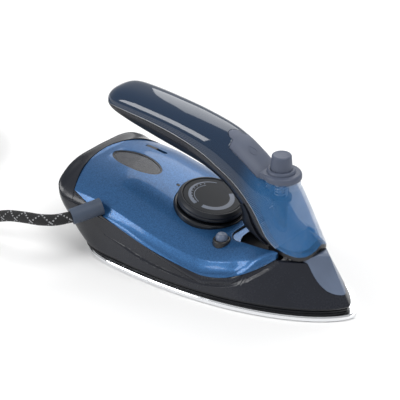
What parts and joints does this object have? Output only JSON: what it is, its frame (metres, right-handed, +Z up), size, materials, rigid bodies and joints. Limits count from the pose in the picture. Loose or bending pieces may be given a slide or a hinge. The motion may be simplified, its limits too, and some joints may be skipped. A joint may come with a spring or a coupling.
{
  "type": "clothes iron",
  "caption": "Compact travel steam iron with a folding handle that holds the water tank, a turning temperature dial, a steam button and a free mains cord.",
  "frame": {"origin": "centre of the soleplate's lower face", "axes": "+X to the nose, +Y to the iron's left, +Z up"},
  "size_m": [0.425, 0.1293, 0.095],
  "materials": {
    "sole_steel": "polished stainless steel",
    "cast_alloy": "as cast",
    "element_sheath": "oxidised tube",
    "silicone": "matt",
    "shield_black": "fine grain",
    "graphite_gloss": "glossy, dark graphite",
    "blue_metallic": "metallic lacquer over plastic, fine flake",
    "heel_gloss": "glossy",
    "slate_plastic": "satin moulded",
    "dial_black": "satin",
    "dial_knob_dark": "satin",
    "dial_print": null,
    "ceramic_body": "glazed",
    "spring_brass": "plain",
    "steel_plain": "plain",
    "smoked_lens": "smoked transparent",
    "lamp_orange": "clear",
    "black_plastic": "satin",
    "tank_blue": "transparent blue",
    "seal_black": "matt",
    "grip_black": "soft touch",
    "flap_grey": "matt",
    "cord_braid": "braided, pale flecks",
    "guard_grey": "matt",
    "tie_grey": "hook and loop",
    "plug_black": "moulded",
    "pin_nickel": "nickel plated",
    "lead_sheath": "glass fibre sleeve",
    "block_ivory": "plain"
  },
  "bodies": {
    "base": {"soleplate": "sole_steel", "steam_chamber": "cast_alloy", "heating_element": "element_sheath", "chamber_gasket": "silicone", "chamber_cover": "cast_alloy", "heat_shield": "shield_black", "lower_housing": "graphite_gloss", "upper_cover": "blue_metallic", "rear_cover": "heel_gloss", "nose_cover": "slate_plastic", "dial_seat": "dial_black", "thermostat_body": "ceramic_body", "thermostat_blade": "spring_brass", "index_mark": "black_plastic", "pilot_lens": "smoked_lens", "pilot_lamp": "lamp_orange", "voltage_switch": "black_plastic", "fold_button_ring": "black_plastic", "fold_spring": "steel_plain", "hinge_pin": "steel_plain", "hinge_brackets": "steel_plain", "terminal_block": "block_ivory", "thermal_fuse": "spring_brass", "cord_clamp": "black_plastic", "inner_leads": "lead_sheath", "body_screws": "steel_plain", "sole_screws": "steel_plain", "cord_guard": "guard_grey", "power_cord": "cord_braid", "cord_coil": "cord_braid", "cord_tail": "cord_braid", "cord_tie": "tie_grey", "plug_body": "plug_black", "plug_pins": "pin_nickel"},
    "handle": {"water_tank": "tank_blue", "tank_seal": "seal_black", "handle_frame": "slate_plastic", "grip_cover": "grip_black", "handle_foot": "black_plastic", "filler_collar": "flap_grey", "valve_body": "black_plastic", "steam_spring": "steel_plain", "handle_screws": "steel_plain"},
    "flap": {"filler_flap": "flap_grey", "filler_stopper": "flap_grey"},
    "steam_plunger": {"steam_button": "flap_grey", "valve_needle": "steel_plain"},
    "dial": {"dial_knob": "dial_knob_dark", "dial_face": "dial_print", "dial_shaft": "steel_plain"},
    "latch": {"fold_button": "slate_plastic", "lock_pawl": "steel_plain"},
    "slider": {"voltage_slider": "black_plastic"}
  },
  "joints": [
    {"name": "handle_fold", "type": "hinge", "parent": "base", "child": "handle", "pos_m": [0.04, 0, 0.028], "axis": [0, -1, 0], "range_deg": [0, 13]},
    {"name": "filler_flap_open", "type": "hinge", "parent": "handle", "child": "flap", "pos_m": [0.026, 0, 0.0748], "axis": [0, 1, 0], "range_deg": [0, 50]},
    {"name": "steam_press", "type": "slide", "parent": "handle", "child": "steam_plunger", "axis": [0, 0, -1], "range_m": [0, 0.0035], "stiffness_N_per_m": 900, "springref_m": -0.003, "deforming": ["steam_spring"]},
    {"name": "dial_turn", "type": "hinge", "parent": "base", "child": "dial", "pos_m": [-0.0172, 0, 0.033], "axis": [0.1908, 0, 0.9816], "range_deg": [0, 280]},
    {"name": "fold_button_press", "type": "slide", "parent": "base", "child": "latch", "axis": [0, 0, -1], "range_m": [0, 0.0025], "stiffness_N_per_m": 700, "springref_m": -0.003, "deforming": ["fold_spring"]},
    {"name": "voltage_select", "type": "slide", "parent": "base", "child": "slider", "axis": [1, 0, 0], "range_m": [0, 0.007]}
  ]
}
